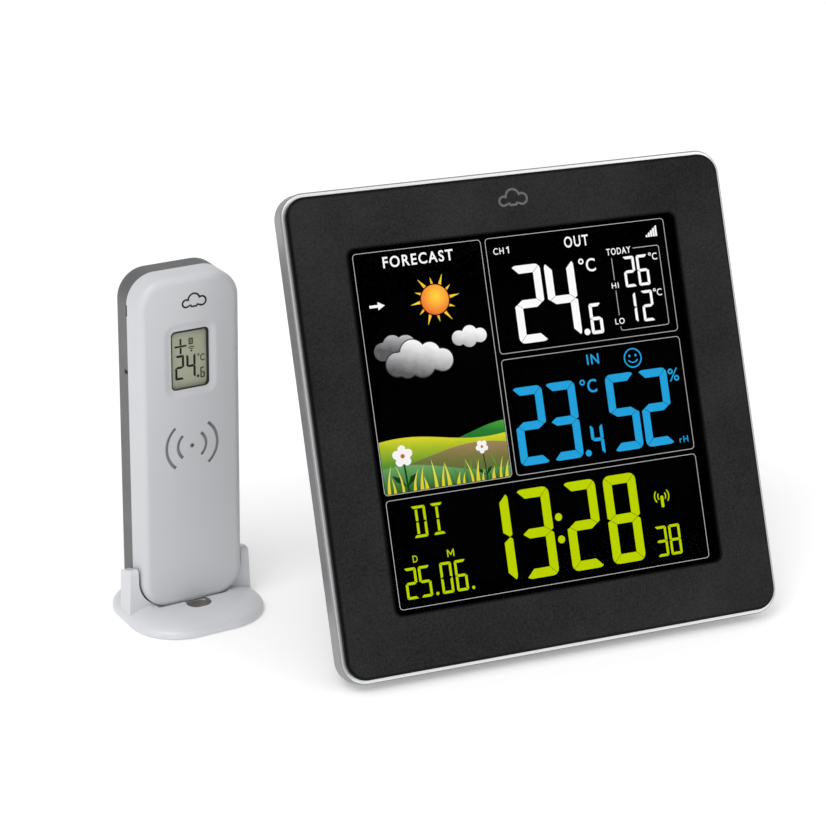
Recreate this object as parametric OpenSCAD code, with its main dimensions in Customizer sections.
// Home weather station: a colour display that leans on a folding leg, and a
// wireless outdoor sensor that lifts out of its table stand.
// Millimetres, +Z up, +Y away from the viewer. The origin is on the table,
// under the middle of the rubber strip that the display stands on.
//
// Display parts are drawn in face space: X right, Y up the face, Z out of the
// face, with Z = 0 at the bezel's front. Sensor parts are drawn the same way,
// with Z = 0 at the joint between the two sensor shells.

/* [Display] */
// Width and height of the silver rim
disp_size = 160; // [156:1:170]
// Depth from the bezel's front to the rear cover's back
disp_depth = 24; // [24:0.5:28]
// Lean of the display back from upright, in degrees
lean = 22.5; // [20:0.5:25]
// Width of the silver ledge around the bezel
rim_ledge = 1.4; // [1:0.1:2]
// Depth of the silver rim, front to back
rim_depth = 6.6; // [5:0.1:7]
// Thickness of the bezel plate, which stands proud of the rim
bezel_t = 2; // [1.8:0.1:2]
// Corner radius of the bezel plate
bezel_r = 7; // [6:0.5:9]
// Window width
window_w = 119; // [116:0.5:119]
// Window height
window_h = 119.5; // [116:0.5:119.5]
// Step from the rim in to the rear box, on each side
box_inset = 6.5; // [6:0.5:6.5]

/* [Kickstand] */
// Height of the hinge above the rim's bottom edge, along the face
hinge_up = 84; // [78:1:88]
// Slope of the open leg behind plumb, in degrees
leg_slope = 10; // [6:1:12]
// Width of the leg
leg_w = 44; // [36:1:44]
// Radius of the hinge stubs
stub_r = 1.5; // [1.3:0.1:1.5]
// Radial clearance of the stubs in their bores
stub_gap = 0.06; // [0.02:0.01:0.1]

/* [Keys] */
// Travel of every push key
key_travel = 0.5; // [0.3:0.1:0.5]
// Distance between rear keys
key_pitch = 18; // [16:0.5:18]

/* [Sensor] */
// Width of the sensor
sens_w = 37; // [36:0.5:40]
// Height of the sensor
sens_h = 118; // [116:1:122]
// Depth of the light front shell
sens_front = 9.5; // [9.5:0.5:11]
// Depth of the grey rear shell
sens_rear = 9.5; // [9.5:0.5:11]
// Corner radius of the sensor's outline
sens_r = 10; // [9:0.5:12]
// Sensor centre, to the left of the display's centre
sens_left = 106.5; // [106.5:0.5:130]
// Joint plane of the sensor, behind the display's rubber strip
sens_back = 76.5; // [60:0.5:90]
// Turn of the sensor about the vertical, in degrees
sens_turn = 8; // [0:1:12]
// Height of the sensor's bottom above the table
seat_z = 4; // [4:0.5:5]

/* [Sensor stand] */
// Width of the stand's base
base_w = 48; // [48:1:56]
// Depth of the stand's base
base_d = 46; // [44:1:50]
// Height of the arm tops above the table
arm_top = 18.8; // [16:0.2:24]
// Thickness of the arms at their tops
arm_t = 3; // [2:0.1:3.2]

/* [Hidden] */
$fn = 64;
eps = 0.05;

// Display layers, as Z in face space
mid = disp_size / 2;
ledge_z = -bezel_t;
rim_back = ledge_z - rim_depth;
bezel_size = disp_size - 2 * rim_ledge;
bezel_edge = 1.2;
rim_in = disp_size - 4.7;
skirt_out = rim_in - 0.3;
skirt_in = skirt_out - 4;
skirt_back = -5.5;
lens_t = 1;
lens_back = ledge_z - lens_t;
lcd_front = lens_back - 0.2;
lcd_t = 2.2;
lcd_back = lcd_front - lcd_t;
lcd_w = window_w + 4;
lcd_h = window_h + 4;
guide_t = 3;
guide_front = lcd_back - 0.2;
guide_back = guide_front - guide_t;
frame_wall = 1.8;
frame_back = guide_back - 0.6;
pcb_front = frame_back - 0.6;
pcb_t = 1.6;
pcb_back = pcb_front - pcb_t;
flange_front = -6.4;
flange_t = 2;
wall = 2;
back = -disp_depth;
inner_back = back + wall;
box_size = disp_size - 2 * box_inset;
box_in = box_size - 2 * wall;
box_r = 12;
box_edge = 4;
pcb_half = 70;
pcb_low = 97;
pcb_high = 142;

// Screws: the corners hold the cover, the side rows hold the boards
corner_off = 67;
case_head_z = -14;
ear_x = 67;
ear_rows = [30, 104, 138];
ear_low = 30;
ear_r = 3.2;
screw_r = 1.2;
pilot_r = 1.22;
hole_r = 1.35;

// Where face space sits over the table
rim_lift = 0.8;
disp_z0 = rim_lift - rim_back * sin(lean);
foot_z = -12;
foot_depth = 5;
foot_w = 96;
foot_t = 1.5;
foot_up = -(disp_z0 + foot_z * sin(lean)) / cos(lean);
disp_y0 = -(foot_up * sin(lean) - foot_z * cos(lean));

// Kickstand
hinge_z = back + 2.4;
hub_r = 2.4;
leg_open = lean + leg_slope;
hinge_world_z = disp_z0 + hinge_up * cos(lean) + hinge_z * sin(lean);
leg_reach = hinge_world_z / cos(leg_slope);
leg_skin = 1.6;
leg_rib = 3.4;
pocket_half = leg_w / 2 + 0.5;
pocket_wall = 3;
pocket_floor = back + 5.2;
pocket_floor_t = 1.2;

// Backup cells and their bay
cell_r = 5.25;
cell_l = 44.5;
cell_gap = 0.7;
bay_x = 44;
bay_y = 52;
bay_w = 24;
bay_l = 56;
bay_wall = 3.4;
bay_floor = -10.6;
door_t = 1.5;
door_gap = 0.3;
cell_z = (back + door_t + bay_floor) / 2 - 0.1;

// Keys
key_w = 12;
key_h = 6;
key_r = 2.8;
key_gap = 0.25;
key_y = 112;
key_count = 6;
key_proud = 0.8;
key_xs = [for (i = [0:key_count - 1]) (i - (key_count - 1) / 2) * key_pitch];
switch_body = 3.5;
switch_tip = 2.1;
tip_z = pcb_back - switch_body - switch_tip;
tip_gap = key_travel + 0.1;
snooze_w = 30;
snooze_d = 7.5;
snooze_r = 3.5;
snooze_z = -15;
snooze_tip = 144.6;
top_wall_in = mid + box_in / 2;
top_wall_out = mid + box_size / 2;

// Power inlet, in the left side wall
jack_y = 50;
jack_z = -16;
jack_x = -box_size / 2;
jack_r = 2.85;
jack_mouth = 3.5;
jack_bore = 11;
jack_pin_r = 0.95;
jack_pin_l = 7;

// Time-signal aerial
rod_r = 3.3;
rod_y = 146.6;
rod_z = -13.5;
rod_x = [20, 60];
coil_x = [30, 50];

// Wall hangers
hang_x = 30;
hang_y = 132;
hang_r = 4;
hang_slot = 2;
hang_rise = 8;

// Other boards and holes behind the display
buzzer_pos = [45, 128];
climate_pos = [-53, 82];

// Sensor
s_mid = sens_h / 2;
s_edge_front = 2.5;
s_edge_rear = 3;
s_wall = 1.5;
s_face_t = 1.8;
s_in_w = sens_w - 2 * s_wall;
s_in_h = sens_h - 2 * s_wall;
s_in_r = sens_r - s_wall;
s_back = -sens_rear;
s_inner_back = s_back + 1.6;
s_inner_front = sens_front - s_face_t;
s_win_w = 13.9;
s_win_h = 20.8;
s_win_y = 88.8;
s_win_r = 1.6;
s_dish_w = 3;
s_dish_t = 0.5;
s_lcd_w = 15.8;
s_lcd_h = 22.7;
s_lens_t = 1;
s_lens_back = sens_front - 2;
s_lcd_t = 1.6;
s_lcd_front = s_lens_back - 0.15;
s_pcb_back = 4;
s_pcb_t = 1.2;
s_pcb_front = s_pcb_back + s_pcb_t;
s_pcb_low = 15;
s_pcb_high = 100.5;
emblem_y = 58;
emblem_t = 0.9;
pipe_r = 0.9;
s_bay_w = 24;
s_bay_y = [19, 77];
s_bay_wall = 1;
s_bay_floor = 3.1;
s_bay_floor_t = 0.5;
s_cell_z = -2.35;
s_door_w = 27.4;
s_door_y = [16, 92];
s_door_t = 1.5;
s_ctl_y = [80, 90];
s_ctl_floor = -2;
s_ctl_floor_t = 1;
s_ctl_in = s_ctl_floor + s_ctl_floor_t;
s_frame_half = 15.2;
s_screws = [[-12.5, 104], [12.5, 104], [0, 9]];
s_screw_r = 0.9;
s_head_z = -4.5;
s_hang_y = 105;
s_hang_r = 3.2;
s_hang_slot = 1.6;
s_hang_rise = 5;
s_switch_x = -6;
s_switch_y = 85;
s_slot_travel = 4;
s_button_x = 7;
s_tip_z = s_ctl_in + 1.4;

// Sensor stand
seat_gap = 0.1;
arm_gap = 0.8;
arm_front = -6.4;
arm_back = 1.2;
arm_out = sens_w / 2 + arm_gap + arm_t;
base_t = 4.9;
base_mid = -4.2;
base_r = 17;
base_slope = 13;
hole_y = -12.3;
base_low = 0.3;
pad_r = 3;
pad_t = 0.9;

// ---------- shared shapes ----------

// Rounded rectangle, centred
module round_rect(w, h, r) {
    square([w - 2 * r, h], center = true);
    square([w, h - 2 * r], center = true);
    for (sx = [-1, 1], sy = [-1, 1])
        translate([sx * (w / 2 - r), sy * (h / 2 - r)]) circle(r = r);
}

// Flat rounded plate standing on z
module plate(w, h, r, t) linear_extrude(t) round_rect(w, h, r);

// Half-section of a slab edge, its outer top corner a quarter circle of e
module edge_section(r, t, e) {
    square([r, t - e]);
    square([r - e, t]);
    translate([r - e, t - e]) intersection() {
        circle(r = e);
        square(e);
    }
}

// Runs the section given as a child round a rounded rectangle, and fills it
module swept_slab(w, h, r, t) {
    for (k = [0:3]) {
        across = k % 2 == 0 ? [w, h] : [h, w];
        rotate(90 * k) {
            translate([across[0] / 2 - r, across[1] / 2 - r, 0])
                rotate_extrude(angle = 90) children();
            translate([across[0] / 2 - r, 0, 0]) rotate([90, 0, 0])
                linear_extrude(across[1] - 2 * r, center = true) children();
        }
    }
    translate([r - w / 2, r - h / 2, 0]) cube([w - 2 * r, h - 2 * r, t]);
}

// Rounded slab, its top edge rounded by e
module soft_slab(w, h, r, t, e) swept_slab(w, h, r, t) edge_section(r, t, e);

// Half-section of a slab with an elliptical shoulder, a wide and b high
function shoulder(r, base, a, b) = concat(
    [[0, 0], [r, 0]],
    [for (k = [0:9]) [r - a + a * cos(10 * k), base + b * sin(10 * k)]],
    [[0, base + b]]);

// Display parts: face space into the leaning place
module on_display() translate([0, disp_y0, disp_z0]) rotate([90 - lean, 0, 0]) children();

// Same, with the middle of the face as origin
module on_face(z) on_display() translate([0, mid, z]) children();

// Sensor parts: face space into the upright place
module on_sensor() translate([-sens_left, sens_back, seat_z]) rotate([90, 0, sens_turn]) children();

// Stand parts: origin on the table, under the joint between the sensor's shells
module on_stand() translate([-sens_left, sens_back, 0]) rotate([0, 0, sens_turn]) children();

// Everything between two heights over the table
module slice(low, high) translate([-300, -300, low]) cube([600, 600, high - low]);

// Box from one corner to the other
module span(a, b) translate(a) cube(b - a);

// Keyhole: a round entry with a narrow slot above it
module keyhole(r, slot, rise) {
    circle(r = r);
    translate([-slot, 0]) square([2 * slot, rise]);
    translate([0, rise]) circle(r = slot);
}

// Screw along +Z: cross-slotted pan head under z = 0, shank of length l
module screw(r, head_r, head_t, l) {
    difference() {
        translate([0, 0, -head_t]) cylinder(r = head_r, h = head_t);
        for (a = [0, 90]) rotate(a)
            translate([-head_r * 0.65, -0.3, -head_t - 1]) cube([head_r * 1.3, 0.6, 1.7]);
    }
    cylinder(r = r, h = l - r);
    translate([0, 0, l - r]) cylinder(r1 = r, r2 = r * 0.3, h = r);
}

// AAA cell along +Y, its plus end at the top
module cell() rotate([-90, 0, 0]) {
    cylinder(r = cell_r, h = cell_l - 0.8);
    translate([0, 0, cell_l - 0.8]) cylinder(r = 1.9, h = 0.8);
}

// Flat contact with a stack of spring turns, facing +Y
module spring_contact() {
    span([-4.4, 0, -4], [4.4, 0.4, 4]);
    for (k = [0:2]) translate([0, 0.75 + 0.7 * k, 0]) rotate([-90, 0, 0])
        rotate_extrude() translate([3.4 - 0.6 * k, 0]) circle(r = 0.4, $fn = 24);
}

// Flat contact with a raised button, facing +Y
module button_contact() {
    span([-4.4, 0, -4], [4.4, 0.4, 4]);
    rotate([-90, 0, 0]) cylinder(r = 2, h = 1);
}

// Two cells side by side, heads opposite ways, from y to y + cell_l
module cell_pair(x, y, z) {
    off = cell_r + cell_gap / 2;
    translate([x - off, y, z]) cell();
    translate([x + off, y + cell_l, z]) mirror([0, 1, 0]) cell();
}

// Contacts at both ends of a cell pair in a bay from y0 to y1
module cell_pair_contacts(x, y0, y1, z) {
    off = cell_r + cell_gap / 2;
    translate([x - off, y0, z]) spring_contact();
    translate([x + off, y0, z]) button_contact();
    translate([x - off, y1, z]) mirror([0, 1, 0]) button_contact();
    translate([x + off, y1, z]) mirror([0, 1, 0]) spring_contact();
}

// Push switch on a board's back: body with a round tip, growing towards -Z
module push_switch(side, body, tip, tip_r) {
    translate([-side / 2, -side / 2, -body]) cube([side, side, body]);
    translate([0, 0, -body - tip]) cylinder(r = tip_r, h = tip + eps);
}

// ---------- display ----------

module front_bezel() color([0.14, 0.14, 0.145]) difference() {
    union() {
        on_face(ledge_z) soft_slab(bezel_size, bezel_size, bezel_r, bezel_t, bezel_edge);
        on_face(skirt_back) linear_extrude(ledge_z - skirt_back + eps) difference() {
            round_rect(skirt_out, skirt_out, bezel_r - 1.1);
            round_rect(skirt_in, skirt_in, bezel_r - 3.1);
        }
        on_face(flange_front + 0.1) for (sx = [-1, 1], sy = [-1, 1])
            translate([sx * corner_off, sy * corner_off, 0])
                cylinder(r = 3, h = ledge_z - flange_front);
        on_display() for (sx = [-1, 1], y = ear_rows)
            translate([sx * ear_x, y, skirt_back - 0.2])
                cylinder(r = 2.6, h = ledge_z - skirt_back + 0.3);
    }
    on_face(ledge_z - 1) plate(window_w, window_h, 2.4, bezel_t + 2);
    on_face(flange_front - 1) for (sx = [-1, 1], sy = [-1, 1])
        translate([sx * corner_off, sy * corner_off, 0])
            cylinder(r = pilot_r, h = ledge_z - flange_front + 1.3);
    on_display() for (sx = [-1, 1], y = ear_rows)
        translate([sx * ear_x, y, skirt_back - 1])
            cylinder(r = pilot_r, h = ledge_z - skirt_back + 1.3);
}

module silver_rim() color([0.75, 0.76, 0.77]) difference() {
    on_face(rim_back) soft_slab(disp_size, disp_size, bezel_r + rim_ledge, rim_depth, 0.7);
    on_face(rim_back - 1) plate(rim_in, rim_in, bezel_r - 0.95, rim_depth + 2);
}

// Outer skin of the rear cover
module cover_skin() {
    on_face(flange_front - flange_t)
        plate(rim_in - 0.4, rim_in - 0.4, bezel_r - 1.15, flange_t);
    on_face(flange_front) mirror([0, 0, 1])
        soft_slab(box_size, box_size, box_r, disp_depth + flange_front, box_edge);
}

// Bay, pocket, pillars and saddles that stand inside the rear cover
module cover_insides() {
    on_display() {
        translate([bay_x, bay_y, inner_back - 1])
            plate(bay_w + 2 * bay_wall, bay_l + 2 * bay_wall, 2, bay_floor + 1 - inner_back + 1);
        span([-pocket_half - pocket_wall, mid - box_size / 2 + 1, back + 1],
             [pocket_half + pocket_wall, hinge_up + 6, pocket_floor + pocket_floor_t]);
        for (x = rod_x + [4, -4])
            span([x - 1.5, rod_y - 3.6, back + 1], [x + 1.5, top_wall_in + 1, rod_z]);
        for (p = [[-5, -6], [5, 6]])
            translate([climate_pos[0] + p[0], climate_pos[1] + p[1], back + 1])
                cylinder(r = 1.2, h = 3.5);
        span([jack_x + 1, jack_y - 6, back + 1], [jack_x + 15.5, jack_y - 4.7, -12]);
        span([jack_x + 1, jack_y + 4.7, back + 1], [jack_x + 15.5, jack_y + 6, -12]);
    }
    on_face(back + 1) for (sx = [-1, 1], sy = [-1, 1])
        translate([sx * corner_off, sy * corner_off, 0])
            cylinder(r = 3.6, h = flange_front - back - 1);
}

// Ridge under the cover that carries the rubber strip
module foot_block() on_display()
    span([-foot_w / 2, -4, foot_z - foot_depth / 2],
         [foot_w / 2, box_inset + 1, foot_z + foot_depth / 2]);

// Pocket for the folded leg, open at the bottom edge, with its hinge bores
module leg_pocket() on_display() {
    span([-pocket_half, 0, back - 1], [pocket_half, hinge_up + hub_r + 0.5, pocket_floor]);
    translate([0, hinge_up, hinge_z]) rotate([0, 90, 0])
        cylinder(r = stub_r + stub_gap, h = 2 * (pocket_half + pocket_wall + 1), center = true);
}

// Backup cell bay, with a ledge for its door
module bay_opening() on_display() translate([bay_x, bay_y, back]) {
    translate([0, 0, -1])
        plate(bay_w + 4 + 2 * door_gap, bay_l + 4 + 2 * door_gap, 2.3, 1 + door_t + 0.2);
    plate(bay_w, bay_l, 1, bay_floor - back);
}

module key_openings() on_display() {
    for (x = key_xs) translate([x, key_y, back - 1])
        plate(key_w + 2 * key_gap, key_h + 2 * key_gap, key_r + key_gap, wall + 2);
    translate([0, top_wall_out + 1, snooze_z]) rotate([90, 0, 0])
        plate(snooze_w + 2 * key_gap, snooze_d + 2 * key_gap, snooze_r + key_gap, wall + 2);
}

module hanger_openings() on_display()
    for (sx = [-1, 1]) translate([sx * hang_x, hang_y, back - 1])
        linear_extrude(wall + 2) keyhole(hang_r, hang_slot, hang_rise);

// Hole for the inlet in the left side wall, and seats for the aerial rod
module inlet_opening() on_display() {
    translate([jack_x - 1, jack_y, jack_z]) rotate([0, 90, 0]) cylinder(r = 4.2, h = wall + 2);
    translate([rod_x[0] - 2, rod_y, rod_z]) rotate([0, 90, 0])
        cylinder(r = rod_r + 0.05, h = rod_x[1] - rod_x[0] + 4);
}

// Air slots by the climate sensor and sound holes over the buzzer
module vents() on_display() {
    for (k = [-3:3]) translate([climate_pos[0], climate_pos[1] + 3 * k, back - 1])
        plate(14, 1.4, 0.5, wall + 2);
    for (k = [0:6]) translate([buzzer_pos[0], buzzer_pos[1], back - 1])
        rotate(60 * k) translate([k == 6 ? 0 : 3, 0, 0]) cylinder(r = 0.8, h = wall + 2);
}

module screw_wells() on_display() for (sx = [-1, 1], sy = [-1, 1])
    translate([sx * corner_off, mid + sy * corner_off, back - 1]) {
        cylinder(r = 2.9, h = case_head_z - back + 1);
        cylinder(r = hole_r, h = disp_depth);
    }

module rear_cover() color([0.1, 0.1, 0.105]) difference() {
    union() {
        difference() {
            cover_skin();
            on_face(inner_back) plate(box_in, box_in, box_r - wall, disp_depth);
        }
        cover_insides();
        difference() {
            foot_block();
            slice(-50, foot_t);
        }
    }
    leg_pocket();
    bay_opening();
    key_openings();
    hanger_openings();
    inlet_opening();
    vents();
    screw_wells();
}

module display_lens() color([0.5, 0.55, 0.6, 0.3])
    on_face(lens_back) plate(window_w + 7, window_h + 7, 2, lens_t);

module lcd_panel() color([0.02, 0.02, 0.025])
    on_face(lcd_back) plate(lcd_w, lcd_h, 0.6, lcd_t);

module lcd_frame() color([0.85, 0.85, 0.83]) {
    pocket_w = lcd_w + 0.4;
    pocket_h = lcd_h + 0.4;
    outer_w = pocket_w + 2 * frame_wall;
    difference() {
        union() {
            on_face(frame_back) linear_extrude(lens_back - 0.1 - frame_back) difference() {
                round_rect(outer_w, pocket_h + 2 * frame_wall, 3);
                square([pocket_w, pocket_h], center = true);
            }
            on_face(frame_back) for (sx = [-1, 1])
                translate([sx * (pocket_w / 2 - 1.5) - 1.6, -pocket_h / 2, 0])
                    cube([3.2, pocket_h, 0.5]);
            on_display() for (sx = [-1, 1], y = ear_rows) {
                foot = y == ear_low ? pcb_back : pcb_front;
                top = skirt_back - 0.3;
                translate([sx * ear_x, y, foot]) cylinder(r = ear_r, h = top - foot);
                span([sx * (ear_x - 2.5) - 2.2, y - 1.5, frame_back],
                     [sx * (ear_x - 2.5) + 2.2, y + 1.5, top]);
            }
        }
        on_display() for (sx = [-1, 1], y = ear_rows)
            translate([sx * ear_x, y, pcb_back - 1]) cylinder(r = hole_r, h = 10);
    }
}

module light_guide() color([0.93, 0.95, 0.96])
    on_display() translate([0, 79.8, guide_back]) plate(lcd_w - 2.5, 117, 1, guide_t);

// Strip of lamps along the light guide's lower edge
module backlight_strip() color([0.95, 0.9, 0.7]) on_display() {
    y = mid - lcd_h / 2 + 0.1;
    span([-56, y, guide_back + 0.1], [56, y + 0.8, guide_front - 0.1]);
    for (k = [-4:4]) translate([12 * k, y + 1.4, (guide_back + guide_front) / 2])
        cube([3, 1.3, 2], center = true);
}

module lcd_connector() color([0.75, 0.35, 0.45]) on_display()
    span([-50, 139, pcb_front + 0.1], [50, 141.2, lcd_back - 0.1]);

module main_board() color([0.05, 0.3, 0.14]) difference() {
    on_display() span([-pcb_half, pcb_low, pcb_back], [pcb_half, pcb_high, pcb_front]);
    on_display() for (sx = [-1, 1], y = [ear_rows[1], ear_rows[2]])
        translate([sx * ear_x, y, pcb_back - 1]) cylinder(r = hole_r, h = 5);
}

// Chip body with its leads along two sides, on the board's back
module chip(w, h, t, pins) {
    translate([-w / 2, -h / 2, -t]) cube([w, h, t - 0.1]);
    for (k = [0:pins - 1], s = [-1, 1])
        translate([(k - (pins - 1) / 2) * w / pins, s * (h / 2 + 0.3), -0.35])
            cube([w / pins * 0.45, 1, 0.7], center = true);
}

module board_chips() color([0.06, 0.06, 0.065]) on_display() translate([0, 0, pcb_back]) {
    translate([-8, 126, 0]) chip(14, 9, 1.6, 12);
    translate([14, 130, 0]) chip(6, 4.4, 1.5, 4);
    translate([14, 122, 0]) chip(6, 4.4, 1.5, 4);
    for (x = [-60, -54]) translate([x, 124, -6]) cylinder(r = 2.5, h = 6);
    translate([27, 120, -2.5]) cylinder(r = 1.6, h = 2.5);
    for (k = [0:5]) translate([-36 + 12 * k, 103, -0.5]) cube([2, 1.2, 1], center = true);
}

module key_switches() color([0.12, 0.12, 0.13]) on_display() {
    for (x = key_xs) translate([x, key_y, pcb_back])
        push_switch(6, switch_body, switch_tip, 1.7);
    // side-acting switch under the snooze key
    span([-3.5, 137, -18], [3.5, 141.5, pcb_back]);
    translate([0, snooze_tip, snooze_z]) rotate([90, 0, 0])
        cylinder(r = 1.5, h = snooze_tip - 141.4);
}

module ferrite_rod() color([0.2, 0.19, 0.19]) on_display()
    translate([rod_x[0], rod_y, rod_z]) rotate([0, 90, 0])
        cylinder(r = rod_r, h = rod_x[1] - rod_x[0]);

module aerial_coil() color([0.75, 0.4, 0.2]) on_display()
    translate([coil_x[0], rod_y, rod_z]) rotate([0, 90, 0]) difference() {
        cylinder(r = 4.3, h = coil_x[1] - coil_x[0]);
        translate([0, 0, -1]) cylinder(r = rod_r + 0.05, h = coil_x[1] - coil_x[0] + 2);
    }

module receiver_module() color([0.1, 0.35, 0.3]) on_display() {
    span([-50, 121, pcb_back - 1], [-26, 134, pcb_back]);
    span([-48, 123, pcb_back - 3], [-37, 132, pcb_back - 0.9]);
    translate([-31, 122.5, pcb_back - 3]) rotate([-90, 0, 0]) difference() {
        cylinder(r = 2, h = 10);
        translate([0, 0, -1]) cylinder(r = 1.3, h = 12);
    }
}

module buzzer() color([0.08, 0.08, 0.08]) on_display()
    translate([buzzer_pos[0], buzzer_pos[1], pcb_back - 4.5]) difference() {
        cylinder(r = 6, h = 4.5);
        translate([0, 0, -1]) cylinder(r = 1, h = 3);
    }

module climate_sensor() color([0.15, 0.3, 0.5]) on_display() {
    z = back + 4.5;
    translate([climate_pos[0], climate_pos[1], z]) {
        span([-7, -8, 0], [7, 8, 1]);
        span([-1.5, -1.5, -1.2], [1.5, 1.5, 0.05]);
        for (x = [-5:2:1]) span([x - 0.4, 5.4, -0.6], [x + 0.4, 7, 0.05]);
    }
}

module power_inlet() color([0.09, 0.09, 0.095]) difference() {
    on_display() {
        span([jack_x + wall + 0.1, jack_y - 4.6, jack_z - 4.5],
             [jack_x + 15, jack_y + 4.6, jack_z + 4.5]);
        translate([jack_x, jack_y, jack_z]) rotate([0, 90, 0]) cylinder(r = 4, h = wall + 1);
    }
    on_display() translate([jack_x - 1, jack_y, jack_z]) rotate([0, 90, 0]) {
        cylinder(r = jack_r, h = jack_bore + 1);
        translate([0, 0, jack_mouth + 1]) cylinder(r = jack_r + 0.55, h = 1.5);
        cylinder(r = jack_pin_r + 0.01, h = 14);
    }
}

module inlet_pin() color([0.85, 0.85, 0.8]) on_display()
    translate([jack_x + jack_bore - jack_pin_l, jack_y, jack_z]) rotate([0, 90, 0])
        cylinder(r = jack_pin_r, h = jack_pin_l + 1.8);

module backup_cells() color([0.25, 0.3, 0.35]) on_display()
    cell_pair(bay_x, bay_y - cell_l / 2, cell_z);

module cell_contacts() color([0.8, 0.8, 0.78]) on_display()
    cell_pair_contacts(bay_x, bay_y - bay_l / 2, bay_y + bay_l / 2, cell_z);

module case_screws() color([0.7, 0.7, 0.72])
    on_face(case_head_z) for (sx = [-1, 1], sy = [-1, 1])
        translate([sx * corner_off, sy * corner_off, 0]) screw(screw_r, 2.6, 1.6, 11.5);

module board_screws() color([0.75, 0.75, 0.7])
    on_display() for (sx = [-1, 1], y = ear_rows)
        translate([sx * ear_x, y, pcb_back]) screw(screw_r, 2.2, 1.4, 8.2);

module foot_strip() color([0.05, 0.05, 0.05]) intersection() {
    foot_block();
    slice(0, foot_t);
}

// ---------- kickstand ----------

// Hinge space: origin on the hinge, +Y up the leg, +Z to its inner side
module on_hinge() on_display() translate([0, hinge_up, hinge_z])
    rotate([leg_open, 0, 0]) children();

module leg_block() on_hinge()
    span([-leg_w / 2, -leg_reach - 6, -hub_r], [leg_w / 2, 0, leg_rib - hub_r]);

module kickstand() color([0.11, 0.11, 0.115]) {
    difference() {
        union() {
            leg_block();
            on_hinge() rotate([0, 90, 0]) cylinder(r = hub_r, h = leg_w, center = true);
        }
        // hollow behind the skin, with a middle rib left standing
        on_hinge() for (s = [-1, 1])
            translate([s * (leg_w / 4 - 0.25), -leg_reach / 2 - 1, leg_skin - hub_r])
                plate(leg_w / 2 - 3.5, leg_reach - 14, 2, 5);
        // finger scoop
        on_hinge() translate([0, 6 - leg_reach, -hub_r]) rotate([0, 90, 0])
            cylinder(r = 0.8, h = 24, center = true);
        slice(-50, foot_t);
    }
    on_hinge() rotate([0, 90, 0])
        cylinder(r = stub_r, h = 2 * (pocket_half + pocket_wall - 0.3), center = true);
}

module kickstand_pad() color([0.05, 0.05, 0.05]) intersection() {
    leg_block();
    slice(0, foot_t);
}

// ---------- display doors and keys ----------

module battery_door() color([0.1, 0.1, 0.105]) on_display() difference() {
    union() {
        translate([bay_x, bay_y, back]) plate(bay_w + 4, bay_l + 4, 2, door_t);
        for (sx = [-1, 1])
            translate([bay_x + sx * (bay_w / 2 - 0.9), bay_y, back + door_t - eps])
                translate([-0.5, -9, 0]) cube([1, 18, 1.6]);
    }
    for (k = [0:4]) translate([bay_x, bay_y + bay_l / 2 - 4 - 2 * k, back])
        rotate([0, 90, 0]) cylinder(r = 0.45, h = 12 - k, center = true);
}

module rear_key(index) color([0.13, 0.13, 0.135]) on_display()
    translate([key_xs[index], key_y, back]) {
        translate([0, 0, wall + 0.4]) mirror([0, 0, 1])
            soft_slab(key_w, key_h, key_r, wall + 0.4 + key_proud, 0.5);
        translate([0, 0, wall + 0.4]) plate(key_w + 2, key_h + 2, key_r + 1, 1);
        translate([0, 0, wall + 1]) cylinder(r = 1.8, h = tip_z - tip_gap - inner_back - 1);
    }

module key_1() rear_key(0);
module key_2() rear_key(1);
module key_3() rear_key(2);
module key_4() rear_key(3);
module key_5() rear_key(4);
module key_6() rear_key(5);

module snooze_key() color([0.13, 0.13, 0.135]) on_display()
    translate([0, top_wall_in, snooze_z]) rotate([-90, 0, 0]) {
        translate([0, 0, -0.5]) soft_slab(snooze_w, snooze_d, snooze_r, wall + 2, 0.8);
        translate([0, 0, -1.5]) plate(snooze_w + 2, snooze_d + 2, snooze_r + 1, 1.1);
        translate([0, 0, snooze_tip + tip_gap - top_wall_in]) cylinder(r = 2, h = 6);
    }

// ---------- sensor stand ----------

// Room for the sensor's foot and sides
module sensor_room() translate([0, s_mid])
    round_rect(sens_w + 2 * arm_gap, sens_h + 2 * seat_gap, sens_r + 0.4);

// Front view of both arms, their feet in the base
module arms_front() polygon([
    [-arm_out - 0.6, 1.5], [arm_out + 0.6, 1.5], [arm_out + 0.6, 4], [arm_out, arm_top - 1],
    [arm_out - 1, arm_top + 1], [1 - arm_out, arm_top + 1], [-arm_out, arm_top - 1],
    [-arm_out - 0.6, 4]]);

// Side view of an arm, rounded at the front, its top sloping to the back
module arm_side() polygon(concat(
    [[arm_back, 1.5], [arm_front, 1.5]],
    [for (k = [0:4]) let (a = 22.5 * k)
        [arm_front + 1.5 - 1.5 * cos(a), arm_top - 1.5 + 1.5 * sin(a)]],
    [[arm_back, arm_top - 2]]));

module stand_pad_places() for (sx = [-1, 1], sy = [-1, 1])
    translate([sx * (base_w / 2 - 9.5), base_mid + sy * (base_d / 2 - 8.5), 0]) children();

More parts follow.
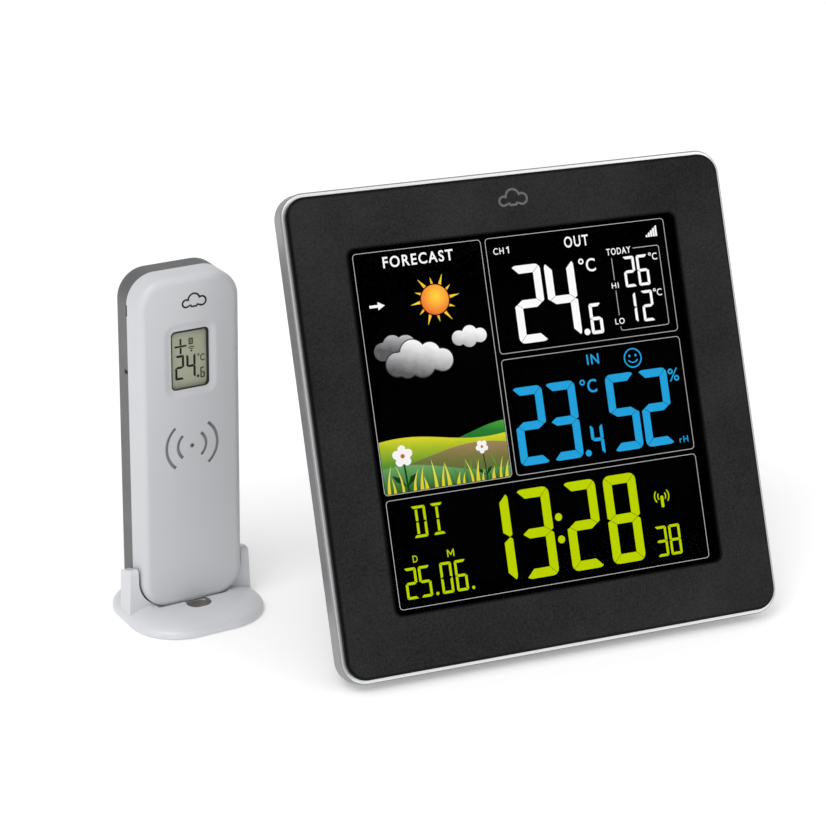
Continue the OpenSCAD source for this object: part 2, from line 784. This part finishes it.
module sensor_stand() color([0.82, 0.82, 0.83]) on_stand()
    difference() {
        union() {
            translate([0, base_mid, base_low]) swept_slab(base_w, base_d, base_r, base_t)
                polygon(shoulder(base_r, 0.9, base_slope, base_t - 0.9));
            intersection() {
                translate([0, 20, 0]) rotate([90, 0, 0]) linear_extrude(40) arms_front();
                rotate([90, 0, 90]) linear_extrude(60, center = true) arm_side();
            }
        }
        translate([0, sens_rear + 0.4, seat_z]) rotate([90, 0, 0])
            linear_extrude(sens_rear + sens_front + 0.9) sensor_room();
        // finger hole in front of the sensor
        translate([0, hole_y, -1]) plate(8.8, 7.4, 3.4, 10);
        stand_pad_places() translate([0, 0, -1]) cylinder(r = pad_r + 0.05, h = 1 + pad_t);
    }

module stand_pads() color([0.6, 0.6, 0.6]) on_stand() stand_pad_places() cylinder(r = pad_r, h = pad_t);

// ---------- sensor shells ----------

module sensor_front_shell() color([0.76, 0.76, 0.77]) on_sensor() difference() {
    union() {
        difference() {
            translate([0, s_mid, 0]) soft_slab(sens_w, sens_h, sens_r, sens_front, s_edge_front);
            translate([0, s_mid, -1]) plate(s_in_w - 1.6, s_in_h - 1.6, s_in_r - 0.8, s_inner_front + 1);
            translate([0, s_mid, -1])
                plate(s_in_w, s_in_h, s_in_r, sens_front - s_edge_front + 1);
        }
        for (p = s_screws) translate([p[0], p[1], 0.1]) cylinder(r = 2.5, h = s_inner_front);
    }
    for (p = s_screws) translate([p[0], p[1], -1]) cylinder(r = s_screw_r + 0.02, h = 8);
    // window, its dished surround, and the seat for its lens
    translate([0, s_win_y, 0]) plate(s_win_w, s_win_h, s_win_r, sens_front + 1);
    translate([0, s_win_y, sens_front - s_dish_t])
        swept_slab(s_win_w + 2 * s_dish_w, s_win_h + 2 * s_dish_w, s_win_r + s_dish_w, 1)
            polygon(concat([[0, 0]], [for (k = [0:8])
                [s_win_r + s_dish_w * k / 8, s_dish_t * (1 - cos(22.5 * k)) / 2]],
                [[s_win_r + s_dish_w, 1], [0, 1]]));
    translate([0, s_win_y, s_lens_back - 1]) plate(s_lcd_w + 0.2, s_lcd_h + 0.2, 1, s_lens_t + 1);
    // seat for the seal
    translate([0, s_mid, -1]) plate(s_in_w + 1.4, s_in_h + 1.4, s_in_r + 0.7, 1.6);
    // light pipe and pressed wave marks
    translate([0, emblem_y, 0]) cylinder(r = pipe_r + 0.05, h = 20);
    for (r = [5.2, 9.4], side = [0, 180])
        translate([0, emblem_y, sens_front - emblem_t]) rotate(side - 50)
            rotate_extrude(angle = 100) translate([r - 0.55, 0]) square([1.1, 1]);
    // air slot in the side
    for (sx = [-1, 1]) translate([sx * sens_w / 2, 106, 0]) cube([2.4, 4, 0.9], center = true);
}

module sensor_rear_shell() color([0.47, 0.47, 0.48]) on_sensor() difference() {
    union() {
        difference() {
            translate([0, s_mid, 0]) mirror([0, 0, 1])
                soft_slab(sens_w, sens_h, sens_r, sens_rear, s_edge_rear);
            translate([0, s_mid, s_inner_back]) plate(s_in_w, s_in_h, s_in_r, sens_rear);
        }
        // battery bay and control pocket
        span([-s_bay_w / 2 - s_bay_wall, s_bay_y[0] - s_bay_wall, s_inner_back - 1],
             [s_bay_w / 2 + s_bay_wall, s_bay_y[1] + s_bay_wall, s_bay_floor + s_bay_floor_t]);
        span([-s_bay_w / 2 - s_bay_wall, s_bay_y[1], s_inner_back - 1],
             [s_bay_w / 2 + s_bay_wall, s_ctl_y[1] + s_bay_wall, s_ctl_in]);
        // frame behind the door's edge
        span([-s_frame_half, s_door_y[0] - 2, s_inner_back - 1],
             [s_frame_half, s_door_y[1] + 2, s_inner_back + 1.5]);
        for (p = s_screws) translate([p[0], p[1], s_inner_back - 1])
            cylinder(r = 2.8, h = -s_inner_back + 1 - 0.1);
    }
    // door ledge, bay, pocket
    translate([0, (s_door_y[0] + s_door_y[1]) / 2, s_back - 1])
        plate(s_door_w + 2 * door_gap, s_door_y[1] - s_door_y[0] + 2 * door_gap, 2.3,
              1 + s_door_t + 0.2);
    span([-s_bay_w / 2, s_bay_y[0], s_back - 1], [s_bay_w / 2, s_bay_y[1], s_bay_floor]);
    span([-s_bay_w / 2, s_ctl_y[0], s_back - 1], [s_bay_w / 2, s_ctl_y[1], s_ctl_floor]);
    // slot for the slider, hole for the button
    translate([s_switch_x + s_slot_travel / 2, s_switch_y, s_ctl_floor - 1])
        plate(s_slot_travel + 3.4, 2.6, 0.5, 3);
    translate([s_button_x, s_switch_y, s_ctl_floor - 1]) cylinder(r = 2.25, h = 3);
    // screw wells and holes
    for (p = s_screws) translate([p[0], p[1], s_back - 1]) {
        cylinder(r = 2.1, h = s_head_z - s_back + 1);
        cylinder(r = s_screw_r + 0.1, h = sens_rear + 2);
    }
    // wall hanger and side notch
    translate([0, s_hang_y, s_back - 1]) linear_extrude(3) keyhole(s_hang_r, s_hang_slot, s_hang_rise);
    for (sx = [-1, 1]) {
        translate([sx * sens_w / 2, 106, 0]) cube([2.4, 4, 0.9], center = true);
        translate([sx * sens_w / 2, 84, -1.4]) cube([2.4, 1.4, 2.6], center = true);
    }
}

module sensor_window() color([0.7, 0.72, 0.66, 0.4]) on_sensor()
    translate([0, s_win_y, s_lens_back]) plate(s_lcd_w, s_lcd_h, 0.9, s_lens_t);

module sensor_lcd() color([0.62, 0.63, 0.54]) on_sensor()
    translate([0, s_win_y, s_lcd_front - s_lcd_t]) plate(s_lcd_w, s_lcd_h, 0.5, s_lcd_t);

module sensor_lcd_holder() color([0.88, 0.88, 0.87]) on_sensor()
    translate([0, s_win_y - 1, s_pcb_front]) difference() {
        plate(18.4, s_lcd_h + 1.9, 1, s_lens_back - s_pcb_front);
        translate([0, 1, s_lcd_front - s_lcd_t - 0.1 - s_pcb_front])
            plate(s_lcd_w + 0.3, s_lcd_h - 0.3 + 0.6, 0.6, 10);
        translate([0, 1, -1]) plate(s_lcd_w - 3, s_lcd_h - 5, 0.6, 10);
    }

module sensor_seal() color([0.08, 0.08, 0.08]) on_sensor() translate([0, s_mid, 0.03])
    linear_extrude(0.54) difference() {
        round_rect(s_in_w + 1.3, s_in_h + 1.3, s_in_r + 0.65);
        round_rect(s_in_w + 0.1, s_in_h + 0.1, s_in_r + 0.05);
    }

module sensor_board() color([0.05, 0.32, 0.15]) on_sensor()
    span([-15, s_pcb_low, s_pcb_back], [15, s_pcb_high, s_pcb_front]);

module sensor_chips() color([0.06, 0.06, 0.065]) on_sensor() {
    translate([0, 40, s_pcb_front]) cylinder(r = 5, h = 1.2);
    translate([-8, 68, s_pcb_front]) mirror([0, 0, 1]) chip(6, 4, 1.4, 4);
    for (k = [0:3]) translate([8, 26 + 6 * k, s_pcb_front + 0.4]) cube([2, 1.2, 0.8], center = true);
}

module sensor_thermistor() color([0.1, 0.1, 0.1]) on_sensor()
    translate([-13.5, 96.5, s_pcb_front]) {
        translate([0, 0, 1.6]) sphere(r = 0.7);
        for (x = [-0.35, 0.35]) translate([x, 0, 0]) cylinder(r = 0.2, h = 1.5);
    }

module sensor_aerial() color([0.8, 0.6, 0.35]) on_sensor()
    translate([11, 58, s_pcb_front + 1.2]) rotate([-90, 0, 0]) difference() {
        cylinder(r = 1.1, h = 14);
        translate([0, 0, -1]) cylinder(r = 0.7, h = 16);
    }

module sensor_light_pipe() color([0.85, 0.85, 0.85]) on_sensor()
    translate([0, emblem_y, s_pcb_front + 1.3]) {
        cylinder(r = pipe_r, h = sens_front - s_pcb_front - 1.3);
        cylinder(r = 1.8, h = 1);
    }

module sensor_led() color([0.95, 0.85, 0.8]) on_sensor()
    span([-1.4, emblem_y - 1, s_pcb_front], [1.4, emblem_y + 1, s_pcb_front + 1]);

module sensor_cells() color([0.25, 0.3, 0.35]) on_sensor()
    cell_pair(0, (s_bay_y[0] + s_bay_y[1] - cell_l) / 2, s_cell_z);

module sensor_contacts() color([0.8, 0.8, 0.78]) on_sensor()
    cell_pair_contacts(0, s_bay_y[0], s_bay_y[1], s_cell_z);

module sensor_screws() color([0.7, 0.7, 0.72]) on_sensor()
    for (p = s_screws) translate([p[0], p[1], s_head_z]) screw(s_screw_r, 1.9, 1.3, 10.5);

module channel_switch_body() color([0.2, 0.2, 0.21]) on_sensor()
    translate([s_switch_x + s_slot_travel / 2, s_switch_y, 0]) difference() {
        span([-5, -2.2, s_ctl_in + 0.5], [5, 2.2, s_pcb_back]);
        span([-s_slot_travel / 2 - 1.7, -1.2, s_ctl_in - 1],
             [s_slot_travel / 2 + 1.7, 1.2, s_ctl_in + 3]);
    }

module transmit_switch() color([0.15, 0.15, 0.16]) on_sensor()
    translate([s_button_x, s_switch_y, s_pcb_back])
        push_switch(4.5, 1.8, s_pcb_back - 1.8 - s_tip_z, 1.2);

// ---------- sensor door, slider and button ----------

module sensor_door() color([0.45, 0.45, 0.46]) on_sensor() difference() {
    union() {
        translate([0, (s_door_y[0] + s_door_y[1]) / 2, s_back])
            plate(s_door_w, s_door_y[1] - s_door_y[0], 2, s_door_t);
        for (sx = [-1, 1]) span([sx * 11.2 - 0.4, 40, s_back + s_door_t - eps],
                                [sx * 11.2 + 0.4, 56, s_back + s_door_t + 1.2]);
    }
    for (k = [0:4]) translate([0, s_door_y[1] - 6 - 2 * k, s_back])
        rotate([0, 90, 0]) cylinder(r = 0.4, h = 12 - k, center = true);
}

module channel_slider() color([0.9, 0.9, 0.9]) on_sensor()
    translate([s_switch_x, s_switch_y, 0]) {
        span([-1.3, -0.9, s_ctl_floor - 1.4], [1.3, 0.9, s_ctl_in + 2.6]);
        span([-1.5, -1.1, s_ctl_floor - 2], [1.5, 1.1, s_ctl_floor - 1.2]);
    }

module transmit_button() color([0.85, 0.85, 0.85]) on_sensor()
    translate([s_button_x, s_switch_y, 0]) {
        translate([0, 0, s_ctl_floor - 1.2]) cylinder(r = 2, h = s_ctl_floor_t + 1.5);
        translate([0, 0, s_ctl_in + 0.1]) cylinder(r = 2.8, h = 0.6);
    }

// ---------- assembly ----------

front_bezel();
silver_rim();
rear_cover();
display_lens();
lcd_panel();
lcd_frame();
light_guide();
backlight_strip();
lcd_connector();
main_board();
board_chips();
key_switches();
ferrite_rod();
aerial_coil();
receiver_module();
buzzer();
climate_sensor();
power_inlet();
inlet_pin();
backup_cells();
cell_contacts();
case_screws();
board_screws();
foot_strip();
kickstand();
kickstand_pad();
battery_door();
snooze_key();
key_1();
key_2();
key_3();
key_4();
key_5();
key_6();
sensor_stand();
stand_pads();
sensor_front_shell();
sensor_rear_shell();
sensor_window();
sensor_lcd();
sensor_lcd_holder();
sensor_seal();
sensor_board();
sensor_chips();
sensor_thermistor();
sensor_aerial();
sensor_light_pipe();
sensor_led();
sensor_cells();
sensor_contacts();
sensor_screws();
channel_switch_body();
transmit_switch();
sensor_door();
channel_slider();
transmit_button();
